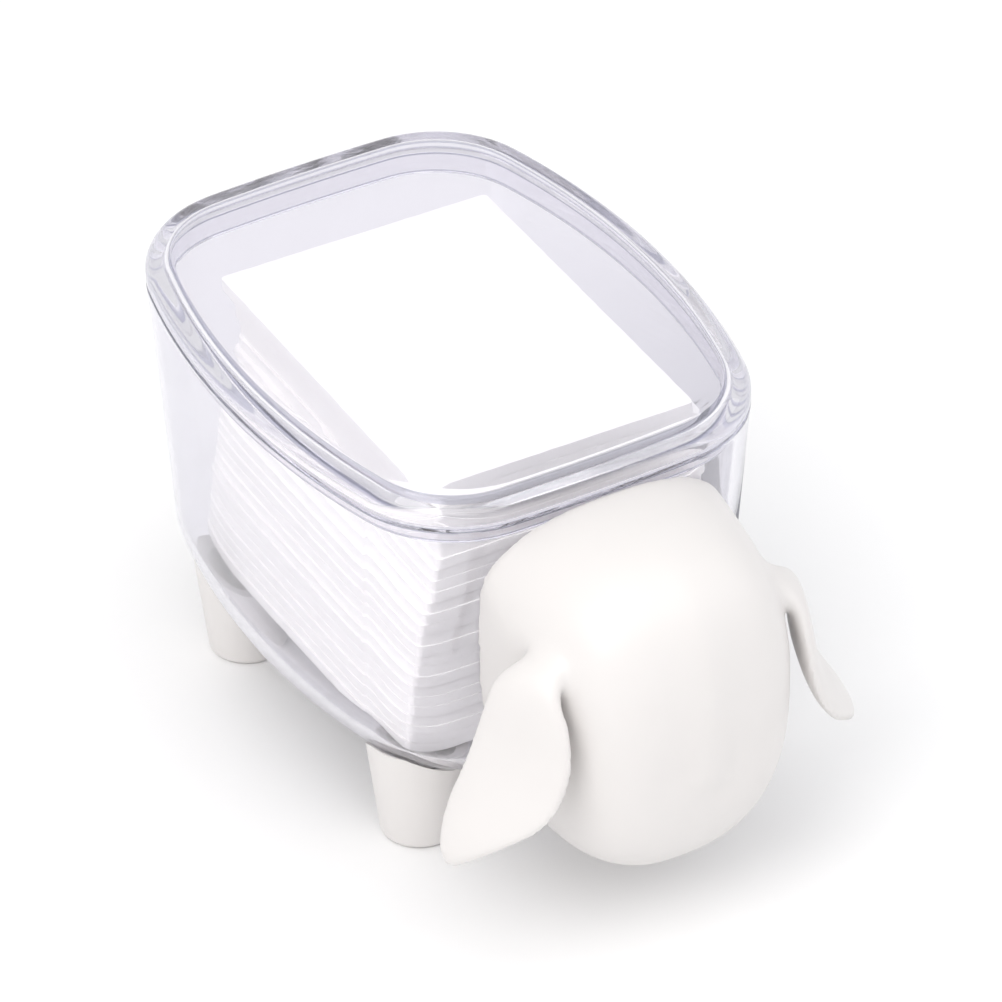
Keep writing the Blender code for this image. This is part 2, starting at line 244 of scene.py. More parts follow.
polystyrene = {
    "tint": "#F6F5F9",  # clear general-purpose polystyrene has a faint blue cast against yellowing
    "grazingTint": "#B4B4C6",
    "slantPower": 3.0,
    "paintedEdgeShade": "#A4A6B8",  # painted shade: narrow roundings and inner corners catch little light, so this darker tint draws them as thin dark lines
    "paintedEdgeShadeGrazing": "#80829A",
    "paintedShadeSlant": (0.1, 0.95),  # faces between these count as such an edge; 0 is upright, 1 is level
    "ior": 1.59,
    "roughness": 0.02,
    "flowSize": 14 * mm,  # slow waves that the melt leaves as it fills the mould
    "flowHeight": 0.005 * mm,
    "flowDetail": 1.0,
}


def clearMouldedPolystyrene(name, tint, grazingTint):
    # injection-moulded from a polished tool: sharp reflections that waver slightly, and a deeper tint where
    # the light crosses the wall at a slant and so has more plastic to pass
    made, tree, shader = startMaterial(
        name, Roughness=polystyrene["roughness"], IOR=polystyrene["ior"], Transmission_Weight=1.0)
    slant = addNode(tree, "ShaderNodeLayerWeight")
    depth = addNode(tree, "ShaderNodeMath", {"operation": "POWER"}, {
        0: slant.outputs["Facing"], 1: polystyrene["slantPower"]})
    colour = addNode(tree, "ShaderNodeMix", {"data_type": "RGBA"}, {
        0: depth.outputs["Value"], 6: hexColour(tint), 7: hexColour(grazingTint)})
    tree.links.new(colour.outputs[2], shader.inputs["Base Color"])
    place = addNode(tree, "ShaderNodeTexCoord")
    waves = addNode(tree, "ShaderNodeTexNoise", feeds={
        "Vector": place.outputs["Object"], "Scale": 1 / polystyrene["flowSize"],
        "Detail": polystyrene["flowDetail"]})
    relief = addNode(tree, "ShaderNodeBump", feeds={
        "Height": waves.outputs["Fac"], "Distance": polystyrene["flowHeight"], "Strength": 1.0})
    tree.links.new(relief.outputs["Normal"], shader.inputs["Normal"])
    return made


moulding = {
    "colour": "#DDDAD8",
    "shade": "#D7D4D2",
    "ior": 1.53,
    "roughness": (0.34, 0.46),
    "cloudSize": 22 * mm,
    "cloudDetail": 3.0,
    "cloudSpread": (0.3, 0.7),  # where in the clouds the gloss has its two ends
    "grainSize": 0.35 * mm,  # a fine spark-eroded tool grain, drawn a little coarser than real so it shows
    "grainHeight": 0.006 * mm,
    "grainDetail": 2.0,
}


def satinMouldedAbs():
    # warm white ABS from a finely eroded tool: broad soft highlights with no sharp reflection
    made, tree, shader = startMaterial("satinMouldedAbs", IOR=moulding["ior"])
    place = addNode(tree, "ShaderNodeTexCoord")
    clouds = addNode(tree, "ShaderNodeTexNoise", feeds={
        "Vector": place.outputs["Object"], "Scale": 1 / moulding["cloudSize"],
        "Detail": moulding["cloudDetail"]})
    colour = addNode(tree, "ShaderNodeMix", {"data_type": "RGBA"}, {
        0: clouds.outputs["Fac"], 6: hexColour(moulding["colour"]), 7: hexColour(moulding["shade"])})
    tree.links.new(colour.outputs[2], shader.inputs["Base Color"])
    (low, high), (glossy, dull) = moulding["cloudSpread"], moulding["roughness"]
    gloss = addNode(tree, "ShaderNodeMapRange", feeds={
        "Value": clouds.outputs["Fac"], "From Min": low, "From Max": high, "To Min": glossy, "To Max": dull})
    tree.links.new(gloss.outputs["Result"], shader.inputs["Roughness"])
    grain = addNode(tree, "ShaderNodeTexNoise", feeds={
        "Vector": place.outputs["Object"], "Scale": 1 / moulding["grainSize"],
        "Detail": moulding["grainDetail"]})
    relief = addNode(tree, "ShaderNodeBump", feeds={
        "Height": grain.outputs["Fac"], "Distance": moulding["grainHeight"], "Strength": 1.0})
    tree.links.new(relief.outputs["Normal"], shader.inputs["Normal"])
    return made


cotton = {
    "colour": "#FFFEFD",
    "shade": "#FCFBFA",
    "fibreSize": 0.5 * mm,  # tangles of fibre; a single fibre is 0.02 mm, too fine to show
    "fibreHeight": 0.03 * mm,
    "fibreDetail": 4.0,
    "fibreTangle": 1.5,
    "cloudSize": 6 * mm,  # thicker and thinner places of the carded web
    "cloudHeight": 0.06 * mm,
    "cloudDetail": 2.0,
    "bloom": 0.25,
    "bloomRoughness": 0.6,
    "specular": 0.1,
}


def cardedCottonWadding():
    # carded fibre pressed between rollers: matt, with a soft bloom of loose fibre at grazing light
    made, tree, shader = startMaterial(
        "cardedCottonWadding", Roughness=1.0, Sheen_Weight=cotton["bloom"],
        Sheen_Roughness=cotton["bloomRoughness"], Specular_IOR_Level=cotton["specular"])
    place = addNode(tree, "ShaderNodeTexCoord")
    fibres = addNode(tree, "ShaderNodeTexNoise", feeds={
        "Vector": place.outputs["Object"], "Scale": 1 / cotton["fibreSize"],
        "Detail": cotton["fibreDetail"], "Distortion": cotton["fibreTangle"]})
    clouds = addNode(tree, "ShaderNodeTexNoise", feeds={
        "Vector": place.outputs["Object"], "Scale": 1 / cotton["cloudSize"],
        "Detail": cotton["cloudDetail"]})
    colour = addNode(tree, "ShaderNodeMix", {"data_type": "RGBA"}, {
        0: fibres.outputs["Fac"], 6: hexColour(cotton["shade"]), 7: hexColour(cotton["colour"])})
    tree.links.new(colour.outputs[2], shader.inputs["Base Color"])
    broad = addNode(tree, "ShaderNodeBump", feeds={
        "Height": clouds.outputs["Fac"], "Distance": cotton["cloudHeight"], "Strength": 1.0})
    relief = addNode(tree, "ShaderNodeBump", feeds={
        "Height": fibres.outputs["Fac"], "Distance": cotton["fibreHeight"], "Strength": 1.0,
        "Normal": broad.outputs["Normal"]})
    tree.links.new(relief.outputs["Normal"], shader.inputs["Normal"])
    return made


clearPlastic = clearMouldedPolystyrene(
    "clearMouldedPolystyrene", polystyrene["tint"], polystyrene["grazingTint"])
# painted shade: the same clear plastic in darker tints, for the narrow roundings that catch little light
clearEdgePaintedShade = clearMouldedPolystyrene(
    "clearPolystyreneEdgePaintedShade", polystyrene["paintedEdgeShade"], polystyrene["paintedEdgeShadeGrazing"])
whitePlastic = satinMouldedAbs()
cottonWool = cardedCottonWadding()


# tub

print("tub")

tub = {
    "wall": 2.0 * mm,
    "floor": 2.0 * mm,
    "bottomRise": 14.0 * mm,
    "bottomRun": 11.1 * mm,
    "rimRadius": 0.35 * mm,  # soft upper edges of the moulding
    "bendSteps": 22,
    "edgeSteps": 4,
    "flatMargin": 1.5 * mm,  # a ring just inside the bends, so that the flat floor shades flat
}
legs = {
    "fromSide": 16.9 * mm,
    "fromEnd": 22.1 * mm,
    "topRadius": 8.8 * mm,
    "footRadius": 6.7 * mm,
    "rise": 5.2 * mm,
    "wall": 2.0 * mm,
    "footEdge": 1.2 * mm,
    "pegRadius": 2.2 * mm,
    "pegRounding": 0.4 * mm,
    "steps": 72,
    "footSteps": 6,
}
headPegs = {"radius": 2.6 * mm, "spacing": 22.0 * mm, "drop": 22.0 * mm, "steps": 40}
turnZ = baseZ + tub["bottomRise"]


def outerLevels(grow):
    # (inset, height) from the rim down the outside to where the floor starts, grown outwards
    levels = [(-grow, rimZ), (-grow, turnZ)]
    levels += arc(-grow, turnZ, tub["bottomRun"] + grow, -tub["bottomRise"] - grow, tub["bendSteps"])
    return levels


def innerLevels():
    run, rise = tub["bottomRun"] - tub["wall"], tub["bottomRise"] - tub["floor"]
    levels = [(tub["wall"], rimZ), (tub["wall"], turnZ)]
    return levels + arc(tub["wall"], turnZ, run, -rise, tub["bendSteps"])


def lathe(bm, profile, place, steps):
    # turns (radius, height) pairs about the place's upright axis
    rings = []
    for radius, height in profile:
        turns = [math.tau * i / steps for i in range(steps)]
        rings.append([place @ Vector((radius * math.cos(t), radius * math.sin(t), height)) for t in turns])
    joinRings(bm, rings)


def legPlaces():
    outX = plan["width"] / 2 - legs["fromSide"]
    outY = plan["length"] / 2 - legs["fromEnd"]
    made = {}
    for end, y in (("front", -outY), ("rear", outY)):
        for side, x in (("left", -outX), ("right", outX)):
            made[f"leg_{end}_{side}"] = Matrix.Translation((x, y + middleY, 0))
    return made


def headPegPlaces():
    return [(side * headPegs["spacing"] / 2, rimZ - headPegs["drop"]) for side in (-1, 1)]


def facingRear(x, z):
    # lays a turned form down, so that its height runs towards the rear
    return Matrix.Translation((x, 0, z)) @ Matrix.Rotation(-math.pi / 2, 4, "X")


def makeTub():
    edge = tub["rimRadius"]
    outer = outerLevels(0)
    inner = innerLevels()
    levels = [(outer[-1][0] + tub["flatMargin"], outer[-1][1])]
    levels += outer[::-1][:-1] + [(0, rimZ - edge)]
    levels += arc(0, rimZ - edge, edge, edge, tub["edgeSteps"])
    levels += [(tub["wall"] - edge, rimZ)]
    levels += arc(tub["wall"] - edge, rimZ, edge, -edge, tub["edgeSteps"], False)
    levels += inner[1:] + [(inner[-1][0] + tub["flatMargin"], inner[-1][1])]
    bm = bmesh.new()
    joinRings(bm, [planRing(inset, height) for inset, height in withSupports(levels)])
    piece = addPiece("clearTub", bm, clearPlastic)
    holes = bmesh.new()
    radius = headPegs["radius"] + gap
    rod = [(radius, frontWallY - tub["wall"]), (radius, frontWallY + 4 * tub["wall"])]
    for x, z in headPegPlaces():
        lathe(holes, rod, facingRear(x, z), headPegs["steps"])
    radius = legs["pegRadius"] + gap
    rod = [(radius, baseZ - tub["floor"]), (radius, baseZ + 2 * tub["floor"])]
    for place in legPlaces().values():
        lathe(holes, rod, place, legs["steps"])
    cutter = addPiece("tubHoles", holes, None)
    addStep(piece, "BOOLEAN", operation="DIFFERENCE", solver="EXACT", object=cutter)
    bakeSteps(piece)
    bpy.data.objects.remove(cutter)
    # painted shade on the rim's upward roundings
    paintEdgeShade(piece, clearEdgePaintedShade, 1, lambda z: z > rimZ - edge)
    piece.visible_shadow = False  # light reaches the pads straight, as it does through clear walls
    seat(piece, "box_body", "clear_polystyrene", "tub")


makeTub()


# lid

print("lid")

lid = {
    "topThickness": 2.2 * mm,
    "edgeRadius": 4.0 * mm,
    "skirtClearance": 0.45 * mm,
    "skirtThickness": 1.1 * mm,
    "cornerFillet": 0.9 * mm,  # inner corner between top plate and skirt
    "filletSteps": 6,
    "smallEdge": 0.3 * mm,
    "edgeSteps": 20,
    "smallSteps": 4,
}


def makeLid():
    topZ, skirtZ, seatZ = lidHigh.z, lidLow.z, rimZ + gap
    outer = tub["wall"] + lid["skirtClearance"]
    inner = outer + lid["skirtThickness"]
    fillet, small, steps = lid["cornerFillet"], lid["smallEdge"], lid["smallSteps"]
    underZ = topZ - lid["topThickness"]
    levels = [(inner + fillet + tub["flatMargin"], underZ), (inner + fillet, underZ)]
    levels += arc(inner + fillet, underZ, -fillet, -fillet, lid["filletSteps"], False)
    levels += [(inner, skirtZ + small)] + arc(inner, skirtZ + small, -small, -small, steps)
    levels += [(outer + small, skirtZ)] + arc(outer + small, skirtZ, -small, small, steps, False)
    levels += [(outer, seatZ - small)] + arc(outer, seatZ - small, -small, small, steps)
    levels += [(small, seatZ)] + arc(small, seatZ, -small, small, steps, False)
    levels += [(0, topZ - lid["edgeRadius"])]
    levels += arc(0, topZ - lid["edgeRadius"], lid["edgeRadius"], lid["edgeRadius"], lid["edgeSteps"])
    levels += [(lid["edgeRadius"] + tub["flatMargin"], topZ)]
    bm = bmesh.new()
    joinRings(bm, [planRing(inset, height) for inset, height in withSupports(levels)])
    piece = addPiece("clearLid", bm, clearPlastic)
    # painted shade on the lid's lower roundings and in its inner corner
    paintEdgeShade(piece, clearEdgePaintedShade, -1, lambda z: z < seatZ + small or z > underZ - fillet)
    piece.visible_shadow = False
    seat(piece, "lid", "clear_polystyrene", "lid")


makeLid()


# legs

print("legs")


def addEnvelope():
    # the tub's outer form grown by the clearance, which trims what seats against it
    levels = [(-gap, rimZ + tub["wall"])] + outerLevels(gap)
    bm = bmesh.new()
    joinRings(bm, [planRing(inset, height) for inset, height in levels])
    return addPiece("tubEnvelope", bm, None)


def makeLeg(name, place, envelope):
    topZ, edge = baseZ + legs["rise"], legs["footEdge"]
    profile = [(legs["footRadius"] - 2 * edge, 0), (legs["footRadius"] - edge, 0)]
    for i in range(1, legs["footSteps"] + 1):
        turn = math.pi / 2 * i / legs["footSteps"]
        profile.append((legs["footRadius"] - edge * (1 - math.sin(turn)), edge * (1 - math.cos(turn))))
    profile += [(legs["topRadius"], topZ), (legs["topRadius"] - legs["wall"], topZ)]
    profile.append((legs["footRadius"] - legs["wall"], legs["wall"]))
    bm = bmesh.new()
    lathe(bm, profile, place, legs["steps"])
    piece = addPiece(name.replace("leg_", "whiteLeg_"), bm, whitePlastic)
    addStep(piece, "BOOLEAN", operation="DIFFERENCE", solver="EXACT", object=envelope)
    radius, rounding = legs["pegRadius"], legs["pegRounding"]
    roundingZ = baseZ + tub["floor"] - rounding
    tip = arc(0, roundingZ, rounding, rounding, legs["footSteps"])
    bm = bmesh.new()
    lathe(bm, [(radius, legs["wall"] / 2), (radius, roundingZ)] + [(radius - inset, z) for inset, z in tip],
          place, legs["steps"])
    pin = addPiece("pin", bm, None)
    addStep(piece, "BOOLEAN", operation="UNION", solver="EXACT", object=pin)
    bakeSteps(piece)
    bpy.data.objects.remove(pin)
    seat(piece, "box_body", "white_abs", name)


envelope = addEnvelope()
for legName, legPlace in legPlaces().items():
    makeLeg(legName, legPlace, envelope)


# head with ears

print("head")

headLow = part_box("head_shell")[0]
head = {
    "width": 44.3 * mm,
    "height": 65.7 * mm,
    "topDrop": 0.3 * mm,
    "noseDrop": 37.2 * mm,
    "reach": frontWallY - gap - headLow.y,
    "wall": 2.0 * mm,
    "widestShare": 0.21,
    "settling": 1.05,
    "squareness": 2.45,
    "sideFullness": 3.7,
    "browFullness": 3.7,
    "chinFullness": 2.3,
    "ridge": 0.3 * mm,
    "ridgeHalfWidth": 5.0 * mm,
    "keel": 1.0 * mm,  # a soft crest along the ridge, which fades out half way down the face
    "keelHalfWidth": 6.5 * mm,
    "keelSoftness": 0.5 * mm,
    "overrun": 0.7 * mm,  # the open back is made this much too deep and then cut to the tub's wall
    "ringSpread": 0.7,
    "around": 120,
    "forward": 34,
    "samples": 600,
    "voxel": 0.55 * mm,
    "softening": 5,
    "blending": 80,  # more softening at the tip of the nose and where the ears leave the head
    "blendReach": 10.0 * mm,
}
ear = {
    "startDrop": 8.1 * mm,
    "drop": 42.3 * mm,
    "startX": 17.8 * mm,
    "reach": 19.4 * mm,
    "forward": 17.4 * mm,
    "width": 19.3 * mm,
    "thickness": 3.5 * mm,
    "turn": math.radians(21.5),
    "edgeFullness": 0.8,
    "around": 28,
    "between": 5,
}
# root to tip, as shares of the ear's drop, reach, forward place, width and thickness
earStations = [
    (0.10, 0.00, 0.90, 0.30, 0.70),
    (0.165, 0.20, 0.93, 0.46, 1.10),
    (0.24, 0.33, 0.95, 0.66, 1.05),
    (0.37, 0.38, 0.99, 0.86, 1.00),
    (0.51, 0.43, 1.00, 0.98, 1.00),
    (0.64, 0.53, 0.99, 1.00, 1.00),
    (0.75, 0.67, 0.96, 0.93, 1.00),
    (0.85, 0.83, 0.88, 0.68, 0.95),
    (0.94, 0.95, 0.80, 0.38, 0.80),
    (1.00, 1.00, 0.76, 0.12, 0.40),
]
headTopZ = rimZ - head["topDrop"]
headBottomZ = headTopZ - head["height"]
headNoseZ = rimZ - head["noseDrop"]
noseY = frontWallY - gap - head["reach"]
noseTip = Vector((0, noseY, headNoseZ))


def headSection(halfWidth, top, widest, bottom):
    # evenly spaced (x, z) points round a squared oval, clockwise from its top
    samples = []
    for i in range(head["samples"] + 1):
        turn = math.pi * (0.5 - i / head["samples"])
        halfHeight = (top if i < head["samples"] / 2 else bottom) - widest
        x = halfWidth * max(math.cos(turn), 0) ** (2 / head["squareness"])
        samples.append(Vector((x, widest + halfHeight * abs(math.sin(turn)) ** (2 / head["squareness"]))))
    lengths = [0.0]
    for before, after in zip(samples, samples[1:]):
        lengths.append(lengths[-1] + (after - before).length)
    right, at, halfSteps = [], 0, head["around"] // 2
    for k in range(halfSteps):
        wanted = lengths[-1] * k / halfSteps
        while lengths[at + 1] < wanted:
            at += 1
        share = (wanted - lengths[at]) / (lengths[at + 1] - lengths[at])
        right.append(samples[at].lerp(samples[at + 1], share))
    right.append(samples[-1])
    return right + [Vector((-p.x, p.y)) for p in reversed(right[1:-1])]


def headRearY(z):
    # the head's back plane, a clearance in front of the sloping tub wall
    return frontWallY + (rimZ - z) * plan["lengthTaper"] / 2 / (rimZ - baseZ) - gap


def dome(forward, fullness):
    # share of its size that the head still has this far forward
    return (1 - forward**fullness) ** (1 / fullness)


def headRing(inset, turn, setback=0.0, followCorner=False):
    # one ring from the back plane (turn 0) to the nose; the crest is on the outside only
    forward = math.sin(turn) ** head["ringSpread"]
    top = headNoseZ + (headTopZ - inset - headNoseZ) * dome(forward, head["browFullness"])
    bottom = headNoseZ - (headNoseZ - headBottomZ - inset) * dome(forward, head["chinFullness"])
    settled = forward ** head["settling"]
    widest = top - (top - bottom) * (head["widestShare"] * (1 - settled) + settled / 2)
    halfWidth = (head["width"] / 2 - inset) * dome(forward, head["sideFullness"])
    ring = []
    for x, z in headSection(halfWidth, top, widest, bottom):
        up = max((z - widest) / (top - widest), 0)
        down = max((widest - z) / (widest - bottom), 0)
        crest = 0.0
        if inset == 0:
            fromKeel = math.hypot(x, head["keelSoftness"]) - head["keelSoftness"]
            crest = head["ridge"] * forward * (1 - down) * math.exp(-((x / head["ridgeHalfWidth"]) ** 2))
            crest += head["keel"] * up * forward * math.exp(-fromKeel / head["keelHalfWidth"])
        rear = headRearY(z)
        y = rear + (noseY + head["ridge"] + head["keel"] + inset - rear) * forward + setback
        if followCorner:
            coreWidth, _, radius, _ = planSizes(z)
            past = min(max(abs(x) - coreWidth, 0), radius)
            y += radius - math.sqrt(radius**2 - past**2)
        ring.append(Vector((x, y - crest * forward, z + crest * up * (1 - forward))))
    return ring


def betweenStations(stations, steps):
    # rows on a smooth curve between each two stations, which stay where they are
    rows = []
    for i in range(len(stations) - 1):
        before, after = stations[max(i - 1, 0)], stations[min(i + 2, len(stations) - 1)]
        for k in range(steps):
            t = k / steps
            weights = (-t + 2 * t**2 - t**3, 2 - 5 * t**2 + 3 * t**3, t + 4 * t**2 - 3 * t**3, t**3 - t**2)
            columns = zip(before, stations[i], stations[i + 1], after)
            rows.append([sum(w * value for w, value in zip(weights, column)) / 2 for column in columns])
    return rows + [stations[-1]]


def earPlace(drop, reach, forward):
    # the middle of the ear, on the right side, at these shares of its drop, reach and forward place
    return (ear["startX"] + ear["reach"] * reach, frontWallY - ear["forward"] * forward,
            rimZ - ear["startDrop"] - ear["drop"] * drop)


def earRings(side):
    rings = []
    for drop, reach, forward, width, thickness in betweenStations(earStations, ear["between"]):
        x, y, z = earPlace(drop, reach, forward)
        ring = []
        for i in range(ear["around"]):
            turn = math.tau * i / ear["around"]
            along = math.copysign(abs(math.cos(turn)) ** ear["edgeFullness"], math.cos(turn))
            along *= ear["width"] * width / 2
            across = math.sin(turn) * ear["thickness"] * thickness / 2
            px = x - along * math.sin(ear["turn"]) + across * math.cos(ear["turn"])
            py = y - along * math.cos(ear["turn"]) - across * math.sin(ear["turn"])
            ring.append(Vector((side * px, py, z)))
        rings.append(ring)
    return rings


def blendWeight(point):
    # 1 at the tip of the nose and at each ear's root, falling to 0 at the blend's reach
    root = Vector(earPlace(*earStations[1][:3]))
    near = min((Vector((abs(point.x), point.y, point.z)) - root).length, (point - noseTip).length)
    return max(1 - (near / head["blendReach"]) ** 2, 0)


def makeHead(envelope):
    turns = [math.pi / 2 * i / head["forward"] for i in range(head["forward"])]
    rings = [[noseTip]] + [headRing(0, turn) for turn in reversed(turns)]
    rings += [headRing(0, 0, head["overrun"], True), headRing(head["wall"], 0, head["overrun"], True)]
    rings += [headRing(head["wall"], turn) for turn in turns]
    rings += [[noseTip + Vector((0, head["ridge"] + head["keel"] + head["wall"], 0))]]
    bm = bmesh.new()
    joinRings(bm, rings)
    for side in (-1, 1):
        joinRings(bm, earRings(side))
    piece = addPiece("whiteHead", bm, whitePlastic)
    addStep(piece, "REMESH", mode="VOXEL", voxel_size=head["voxel"])
    bakeSteps(piece)
    blend = piece.vertex_groups.new(name="blend")
    for vertex in piece.data.vertices:
        weight = blendWeight(vertex.co)
        if weight > 0:
            blend.add([vertex.index], weight, "REPLACE")
    addStep(piece, "SMOOTH", iterations=head["softening"])
    addStep(piece, "SMOOTH", iterations=head["blending"], vertex_group="blend")
    addStep(piece, "BOOLEAN", operation="DIFFERENCE", solver="EXACT", object=envelope)
    bakeSteps(piece)
    seat(piece, "box_body", "white_abs", "head_shell")


makeHead(envelope)
bpy.data.objects.remove(envelope)

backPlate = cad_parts["head_back"]
backPlate.data.materials.clear()
backPlate.data.materials.append(whitePlastic)


# cotton pads

print("pads")

pads = {
    "width": 50.0 * mm,
    "length": 70.0 * mm,
    "cornerRadius": 0.9 * mm,
    "cornerSteps": 3,
    "outlineStep": 1.0 * mm,  # spacing of the points round a pad
    "edgeRuffle": 0.08 * mm,  # cut fibre edges wander in and out by this
    "ruffleSize": 2.2 * mm,
    "ruffleStride": 3 * mm,  # each sheet is taken this much further on in the pattern, so no two are alike
    "edgeDepth": 0.03 * mm,  # how far the pressed edge draws in at its upper and lower faces
    "edgeRoundness": 0.5,
    "edgeCrowding": 0.06,  # draws the rings round the edge closer to the groove
    "plyGroove": 0.02 * mm,  # each pad is two carded plies, which part a little at the cut edge
    "plyGrooveHalfWidth": 0.09,  # as a share of the pad's thickness
    "swell": 0.04 * mm,
    "swellSize": 11 * mm,
    "swellStride": 7 * mm,
    "edgeSteps": 8,
    "innerRings": 3,
    "topRings": 18,  # the top sheet is seen from above, so it has more points across its face
    "centreShare": 0.02,  # size of the small flat face in the middle, as a share of the sheet
    "setBack": 1.0 * mm,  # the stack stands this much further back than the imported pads
    "drift": 0.25,  # share of each packed pad's own sideways place that its sheet keeps
    "clearance": 0.03 * mm,  # between one sheet and the next
    "floorRounds": 4,
    "fill": 0.6,
    "crispFrom": math.radians(80),  # soft fibre keeps no crisp edge
}
# how the stack has slid as sheets were taken: share of its height, sideways slide and turn (degrees)
slideStations = [
    (0.00, -5.6 * mm, -1.2),
    (0.20, -4.6 * mm, -1.2),
    (0.50, -2.6 * mm, -1.3),
    (0.65, -0.2 * mm, -1.4),
    (0.80, 1.5 * mm, -1.6),
    (0.92, 0.6 * mm, -1.6),
    (1.00, -1.6 * mm, -1.6),
]
padNames = sorted(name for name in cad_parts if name.startswith("cotton_pad"))
stackTop = max(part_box(name)[1].z for name in padNames)
stackMiddle = sum(((low + high) / 2 for low, high in map(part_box, padNames)), Vector()) / len(padNames)


def floorHeight(x, y):
    # height of the tub's inside under a point: flat in the middle, rising along the rounded bottom edge
    run, rise = tub["bottomRun"] - tub["wall"], tub["bottomRise"] - tub["floor"]
    height = turnZ
    for _ in range(pads["floorRounds"]):
        coreWidth, coreLength, radius, _ = planSizes(height)
        pastX, pastY = max(abs(x) - coreWidth, 0), max(abs(y - middleY) - coreLength, 0)
        room = radius - tub["wall"] - math.hypot(pastX, pastY)
        height = turnZ - rise * math.sin(math.acos(1 - min(max(room / run, 0), 1)))
    return height


def stackSlide(share):
    # sideways slide and turn at a share of the stack's height
    for (before, *low), (after, *high) in zip(slideStations, slideStations[1:]):
        if share <= after:
            t = (share - before) / (after - before)
            t = t * t * (3 - 2 * t)
            return [a + (b - a) * t for a, b in zip(low, high)]


def padOutline(width, length):
    # points and outward directions round a rectangle with small round corners
    radius = pads["cornerRadius"]
    points = []
    for quarter in range(4):
        across, along = (width, length) if quarter % 2 == 0 else (length, width)
        reach, half = across / 2, along / 2 - radius
        turn = Matrix.Rotation(math.pi / 2 * quarter, 2)
        steps = round(2 * half / pads["outlineStep"])
        for i in range(steps):
            points.append((turn @ Vector((reach, half * (2 * i / steps - 1))), turn @ Vector((1, 0))))
        centre = Vector((reach - radius, half))
        for i in range(pads["cornerSteps"]):
            angle = math.pi / 2 * i / pads["cornerSteps"]
            out = Vector((math.cos(angle), math.sin(angle)))
            points.append((turn @ (centre + out * radius), turn @ out))
    return points


def makePad(name, index, count, ringsInside):
    low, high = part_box(name)
    slide, degrees = stackSlide((index + 1) / count)
    own = stackMiddle.lerp((low + high) / 2, pads["drift"])
    middle = Vector((own.x + slide, own.y + pads["setBack"]))
    turn = Matrix.Rotation(math.radians(degrees), 2)
    outline = []
    for p, out in padOutline(pads["width"], pads["length"]):
        wander = noise.noise(Vector((p.x, p.y, index * pads["ruffleStride"])) / pads["ruffleSize"])
        outline.append((p + out * wander * pads["edgeRuffle"], out))

    def ring(share, inset, level):
        made = []
        for p, out in outline:
            q = turn @ ((p - out * inset) * share) + middle
            at = Vector((q.x, q.y, (index + level) * pads["swellStride"])) / pads["swellSize"]
            bottom = floorHeight(q.x, q.y) + gap
            height = bottom + (stackTop - bottom) * (index + level) / count + noise.noise(at) * pads["swell"]
            made.append(Vector((q.x, q.y, height)))
        return made

    thin = pads["clearance"] / ((stackTop - baseZ - tub["floor"]) / count)
    shares = [(k + 1) / (ringsInside + 1) for k in range(ringsInside)]
    rings = [ring(pads["centreShare"], 0, thin / 2)] + [ring(s, pads["edgeDepth"], thin / 2) for s in shares]
    for i in range(pads["edgeSteps"] + 1):
        t = i / pads["edgeSteps"]
        bulge = math.sin(math.pi * t) ** pads["edgeRoundness"]
        groove = math.exp(-((t - 0.5) / pads["plyGrooveHalfWidth"]) ** 2)
        inset = pads["edgeDepth"] * (1 - bulge) + pads["plyGroove"] * groove
        level = t + pads["edgeCrowding"] * math.sin(math.tau * t)
        rings.append(ring(1, inset, thin / 2 + (1 - thin) * level))
    rings += [ring(s, pads["edgeDepth"], 1 - thin / 2) for s in reversed(shares)]
    rings.append(ring(pads["centreShare"], 0, 1 - thin / 2))
    bm = bmesh.new()
    joinRings(bm, rings)
    piece = addPiece(name.replace("cotton_pad", "cottonSheet"), bm, cottonWool, pads["crispFrom"])
    seat(piece, "box_body", "pressed_cotton", name)


for padIndex, padName in enumerate(padNames):
    ringsAcross = pads["topRings"] if padName == padNames[-1] else pads["innerRings"]
    makePad(padName, padIndex, len(padNames), ringsAcross)


# floor, light, camera

print("stage")

stage = {
    "floorSize": 4.0,
    "floorColour": "#F1F1F1",
    "skyTop": "#FFFFFF",
    "skySide": "#EDEDF4",
    "skyStrength": 0.86,
    # painted shadow: a grey sheet lying on the floor, in place of the box's own shadow there
    "shadowSheetLow": (0.052, 0.010),
    "shadowSheetHigh": (0.082, 0.062),
    "shadowSheetColour": "#8A8A8E",
    "shadowSheetRoughness": 0.9,
    "shadowSheetLift": 1 * mm,
    "skyTopFrom": 0.8,  # height, as a share of straight up, at which the sky has its top colour
    "bounces": 192,  # light piped along the clear plate turns many corners; with fewer the rim goes black
    "glossyBounces": 160,
}


def makeFloor():
    paper = startMaterial(
        "whiteStudioPaper", Base_Color=hexColour(stage["floorColour"]), Roughness=1.0,
        Specular_IOR_Level=0.0)[0]
    bm = bmesh.new()
    half = stage["floorSize"] / 2
    bm.faces.new([bm.verts.new((x * half, y * half, 0)) for x, y in ((-1, -1), (1, -1), (1, 1), (-1, 1))])
    floor = addPiece("paperFloor", bm, paper)


def makePaintedShadowSheet():
    # painted shadow: a grey sheet on the floor right of and behind the box, out of the picture, in place of
    # the box's own shadow there; only the clear plastic shows it, as it shows its edges by what lies beyond
    # them
    shadowGrey = startMaterial(
        "paintedShadowGrey", Base_Color=hexColour(stage["shadowSheetColour"]), Roughness=stage["shadowSheetRoughness"])[0]
    (lowX, lowY), (highX, highY) = stage["shadowSheetLow"], stage["shadowSheetHigh"]
    bm = bmesh.new()
    corners = ((lowX, lowY), (highX, lowY), (highX, highY), (lowX, highY))
    bm.faces.new([bm.verts.new((x, y, stage["shadowSheetLift"])) for x, y in corners])
    shadowSheet = addPiece("paintedShadowSheet", bm, shadowGrey)
    shadowSheet.visible_camera = False
    shadowSheet.visible_shadow = False
    shadowSheet.visible_diffuse = False


